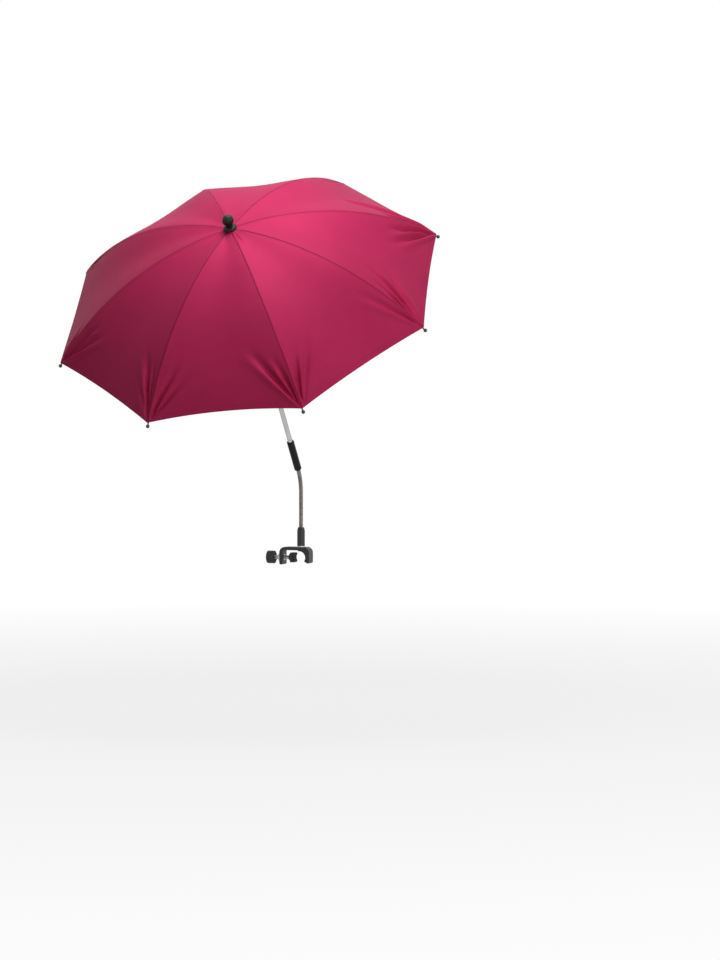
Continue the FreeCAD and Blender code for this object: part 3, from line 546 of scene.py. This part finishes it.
def woundTube(bm, startAt, turns, pitch, middle, wire, steps, sides):
    made = bmesh.ops.create_circle(bm, segments=sides, radius=wire)
    verts = made["verts"]
    bmesh.ops.rotate(bm, verts=verts, cent=(0, 0, 0), matrix=Matrix.Rotation(math.pi / 2, 3, "X"))
    bmesh.ops.translate(bm, verts=verts, vec=(middle, 0, startAt))
    edges = list({edge for vert in verts for edge in vert.link_edges})
    bmesh.ops.spin(bm, geom=verts + edges, cent=(0, 0, 0), axis=(0, 0, 1), angle=2 * math.pi * turns,
                   dvec=(0, 0, pitch / steps), steps=steps * turns)
    bmesh.ops.holes_fill(bm, edges=[edge for edge in bm.edges if edge.is_boundary], sides=0)


def neckLength(name, startAt, turns):
    bm = bmesh.new()
    woundTube(bm, startAt, turns, neck["pitch"], neck["radius"] - neck["wire"], neck["wire"], neck["stepsPerTurn"],
              neck["wireSides"])
    # the core shows only between the turns
    length = turns * neck["pitch"]
    core = bmesh.ops.create_cone(bm, cap_ends=True, segments=neck["coreSides"], radius1=neck["core"],
                                 radius2=neck["core"], depth=length)
    bmesh.ops.translate(bm, verts=core["verts"], vec=(0, 0, startAt + length / 2))
    coreEdges = {edge for vert in core["verts"] for edge in vert.link_edges}
    sides = [edge for edge in coreEdges if abs(edge.verts[0].co.z - edge.verts[1].co.z) > length / 2]
    bmesh.ops.subdivide_edges(bm, edges=sides, cuts=neck["coreCuts"])
    for vert in bm.verts:
        place, inward = neckPlace(vert.co.z)
        vert.co = place + Vector((1, 0, 0)) * vert.co.x + inward * vert.co.y
    bmesh.ops.recalc_face_normals(bm, faces=bm.faces)
    piece = newPiece(name, bm, "neckSatin")
    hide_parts("gooseneck_winding", "gooseneck_core")
    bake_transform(piece)


neckMiddle = neck["lowerFrom"] + neck["lowerTurns"] * neck["pitch"]
neckLength("neckLower", neck["lowerFrom"], neck["lowerTurns"])
neckLength("neckUpper", neckMiddle, neck["upperTurns"])
print("parasol: gooseneck wound")

# clamp screw with its thread, and a fluted knob
screwLow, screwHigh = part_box("clamp_screw")
screw = dict(root=0.0033, crest=0.0040, lead=0.005, starts=2, steps=28, sunk=0.0002, footHalf=0.0011, crestHalf=0.0003,
             rodSides=40)


def threadedScrew():
    length = screwHigh.x - screwLow.x
    bm = bmesh.new()
    turns = math.floor(length / screw["lead"]) - 1
    slack = length - turns * screw["lead"]
    for start in range(screw["starts"]):
        shift = slack / 2 + start * screw["lead"] / screw["starts"] - screw["lead"] / 4
        foot = screw["root"] - screw["sunk"]
        line = [(foot, shift - screw["footHalf"]), (screw["crest"], shift - screw["crestHalf"]),
                (screw["crest"], shift + screw["crestHalf"]), (foot, shift + screw["footHalf"])]
        verts = [bm.verts.new((radius, 0, height)) for radius, height in line]
        edges = [bm.edges.new(pair) for pair in zip(verts, verts[1:] + verts[:1])]
        bmesh.ops.spin(bm, geom=verts + edges, cent=(0, 0, 0), axis=(0, 0, 1), angle=2 * math.pi * turns,
                       dvec=(0, 0, screw["lead"] / screw["steps"]), steps=screw["steps"] * turns)
    bmesh.ops.holes_fill(bm, edges=[edge for edge in bm.edges if edge.is_boundary], sides=0)
    rod = bmesh.ops.create_cone(bm, cap_ends=True, segments=screw["rodSides"], radius1=screw["root"],
                                radius2=screw["root"], depth=length)
    bmesh.ops.translate(bm, verts=rod["verts"], vec=(0, 0, length / 2))
    bmesh.ops.recalc_face_normals(bm, faces=bm.faces)
    turn = Matrix.Translation((screwLow.x, 0, 0)) @ Matrix.Rotation(math.pi / 2, 4, "Y")
    bmesh.ops.transform(bm, matrix=turn, verts=bm.verts)
    piece = newPiece("clampScrewThread", bm, "turnedSteel", smooth=False)
    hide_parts("clamp_screw")
    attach(piece, "screw")


threadedScrew()

knobLow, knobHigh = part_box("clamp_knob")
knob = dict(flutes=12, flute=0.0014, fluteEase=1.4, round=0.0018, roundSteps=4, rim=0.0022, dish=0.0012, segments=144)


def flutedKnob():
    length = knobHigh.x - knobLow.x
    radius = (knobHigh.y - knobLow.y) / 2
    bm = bmesh.new()
    disc = bmesh.ops.create_circle(bm, cap_ends=True, segments=knob["segments"], radius=radius)
    for vert in disc["verts"]:
        angle = math.atan2(vert.co.y, vert.co.x)
        wave = 0.5 - 0.5 * math.cos(knob["flutes"] * angle)
        vert.co *= 1 - knob["flute"] / radius * wave ** knob["fluteEase"]
    raised = bmesh.ops.extrude_face_region(bm, geom=list(bm.faces))
    raisedVerts = [item for item in raised["geom"] if isinstance(item, bmesh.types.BMVert)]
    bmesh.ops.translate(bm, verts=raisedVerts, vec=(0, 0, length))
    rims = [edge for edge in bm.edges if abs(edge.verts[0].co.z - edge.verts[1].co.z) < 1e-6]
    bmesh.ops.bevel(bm, geom=rims, offset=knob["round"], segments=knob["roundSteps"], profile=0.5, affect="EDGES",
                    material=-1)
    ends = [face for face in bm.faces if len(face.verts) == knob["segments"]]
    for face in ends:
        outward = 1 if face.calc_center_median().z > length / 2 else -1
        bmesh.ops.inset_region(bm, faces=[face], thickness=knob["rim"])
        bmesh.ops.translate(bm, verts=face.verts, vec=(0, 0, -outward * knob["dish"]))
    bmesh.ops.recalc_face_normals(bm, faces=bm.faces)
    turn = Matrix.Translation((knobLow.x, 0, 0)) @ Matrix.Rotation(math.pi / 2, 4, "Y")
    bmesh.ops.transform(bm, matrix=turn, verts=bm.verts)
    piece = newPiece("clampKnobFluted", bm, "clampPlastic", smooth=False)
    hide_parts("clamp_knob")
    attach(piece, "screw")


flutedKnob()
print("parasol: clamp screw and knob")

# finishes of the solids that stay
finishOf = dict(rib_steel="ribSteel", tip_plastic="tipPlastic", shaft_chrome="shaftChrome", grip_plastic="gripPlastic",
                hinge_plastic="hingePlastic", spring_steel="springSteel", neck_steel="neckSatin",
                inner_metal="turnedSteel", clamp_plastic="clampPlastic", screw_steel="turnedSteel",
                grip_rubber="gripRubber", cloth="canopyCloth")
slotOf = {entry["node"]: entry["material_slot"] for entry in frame["record"]["subparts"]}
for name, solid in nodes.items():
    solid.data.materials.clear()
    solid.data.materials.append(finishes[finishOf[slotOf[name]]])

# floor, background and light
# glowNear dims the floor's glow near the parasol, which paints shade round it
studio = dict(floor=-0.30, floorSize=14.0, pale=(0.93, 0.93, 0.93, 1), white=(1, 1, 1, 1), air=(0.95, 0.96, 1.0, 1),
              ambient=0.02, glowNear=0.84, glowFrom=0.8, glowTo=3.0)
floorMesh = bmesh.new()
bmesh.ops.create_grid(floorMesh, x_segments=2, y_segments=2, size=studio["floorSize"])
bmesh.ops.translate(floorMesh, verts=floorMesh.verts, vec=(0, 0, studio["floor"]))
floorData = bpy.data.meshes.new("studioFloor")
floorMesh.to_mesh(floorData)
floorMesh.free()
floor = bpy.data.objects.new("studioFloor", floorData)
bpy.context.scene.collection.objects.link(floor)


# the camera and reflections see plain white, and other rays get the soft light
def seenShare(tree):
    path = node(tree, "ShaderNodeLightPath")
    shiny = mathNode(tree, "MAXIMUM", path.outputs["Is Glossy Ray"], path.outputs["Is Transmission Ray"])
    return mathNode(tree, "MAXIMUM", path.outputs["Is Camera Ray"], shiny)


floorFinish = bpy.data.materials.new("paleFloor")
floorFinish.use_nodes = True
floorTree = floorFinish.node_tree
floorTree.nodes.clear()
floorOut = node(floorTree, "ShaderNodeOutputMaterial")
matte = node(floorTree, "ShaderNodeBsdfDiffuse")
matte.inputs["Color"].default_value = studio["pale"]
glow = node(floorTree, "ShaderNodeEmission")
glow.inputs["Color"].default_value = studio["white"]
floorMix = node(floorTree, "ShaderNodeMixShader")
floorWhere = node(floorTree, "ShaderNodeTexCoord")
# painted shade: the floor's glow is dimmed near the parasol, so the floor is darker round it and shows more of its real
# shadow
floorAway = node(floorTree, "ShaderNodeVectorMath", operation="LENGTH")
joined(floorTree, floorWhere.outputs["Object"], floorAway.inputs[0])
glowShare = ranged(floorTree, floorAway.outputs["Value"], studio["glowFrom"], studio["glowTo"], studio["glowNear"], 1.0)
joined(floorTree, mathNode(floorTree, "MULTIPLY", seenShare(floorTree), glowShare), floorMix.inputs[0])
joined(floorTree, matte.outputs[0], floorMix.inputs[1])
joined(floorTree, glow.outputs[0], floorMix.inputs[2])
joined(floorTree, floorMix.outputs[0], floorOut.inputs[0])
floorData.materials.append(floorFinish)

world = bpy.data.worlds.new("paleRoom")
bpy.context.scene.world = world
world.use_nodes = True
worldTree = world.node_tree
worldTree.nodes.clear()
worldOut = node(worldTree, "ShaderNodeOutputWorld")
soft = node(worldTree, "ShaderNodeBackground", Strength=studio["ambient"])
seen = node(worldTree, "ShaderNodeBackground", Strength=1.0)
soft.inputs["Color"].default_value = studio["air"]
seen.inputs["Color"].default_value = studio["white"]
worldMix = node(worldTree, "ShaderNodeMixShader")
joined(worldTree, seenShare(worldTree), worldMix.inputs[0])
joined(worldTree, soft.outputs[0], worldMix.inputs[1])
joined(worldTree, seen.outputs[0], worldMix.inputs[2])
joined(worldTree, worldMix.outputs[0], worldOut.inputs[0])

lamps = dict(
    key=dict(place=(0.12, -0.50, 1.20), power=3.8, size=0.3),
    top=dict(place=(-0.35, -0.15, 1.90), power=2.2, size=0.8),
    fill=dict(place=(2.2, -2.8, 0.8), power=21, size=2.0),
    side=dict(place=(3.0, -1.0, 1.0), power=17, size=2.0),
    back=dict(place=(0.4, 2.6, 1.4), power=2, size=1.6),
)
lampAim = Vector((0, -0.35, 0.55))
for name, setting in lamps.items():
    lampData = bpy.data.lights.new(name + "Lamp", "AREA")
    lampData.energy = setting["power"]
    lampData.size = setting["size"]
    lamp = bpy.data.objects.new(name + "Lamp", lampData)
    bpy.context.scene.collection.objects.link(lamp)
    lamp.location = setting["place"]
    lamp.rotation_euler = (lampAim - lamp.location).to_track_quat("-Z", "Y").to_euler()

# camera at the photograph's viewing angle
view = dict(place=(1.7679, -5.0809, 0.2919), azimuth=17.96, down=1.5, lens=103.5, sensor=36)
cameraData = bpy.data.cameras.new("parasolView")
cameraData.sensor_fit = "AUTO"
cameraData.sensor_width = view["sensor"]
cameraData.lens = view["lens"]
camera = bpy.data.objects.new("parasolView", cameraData)
bpy.context.scene.collection.objects.link(camera)
camera.location = view["place"]
camera.rotation_euler = (math.radians(90 - view["down"]), 0, math.radians(view["azimuth"]))
bpy.context.scene.camera = camera
bpy.context.scene.view_settings.view_transform = "Standard"
print("parasol: light and camera set")
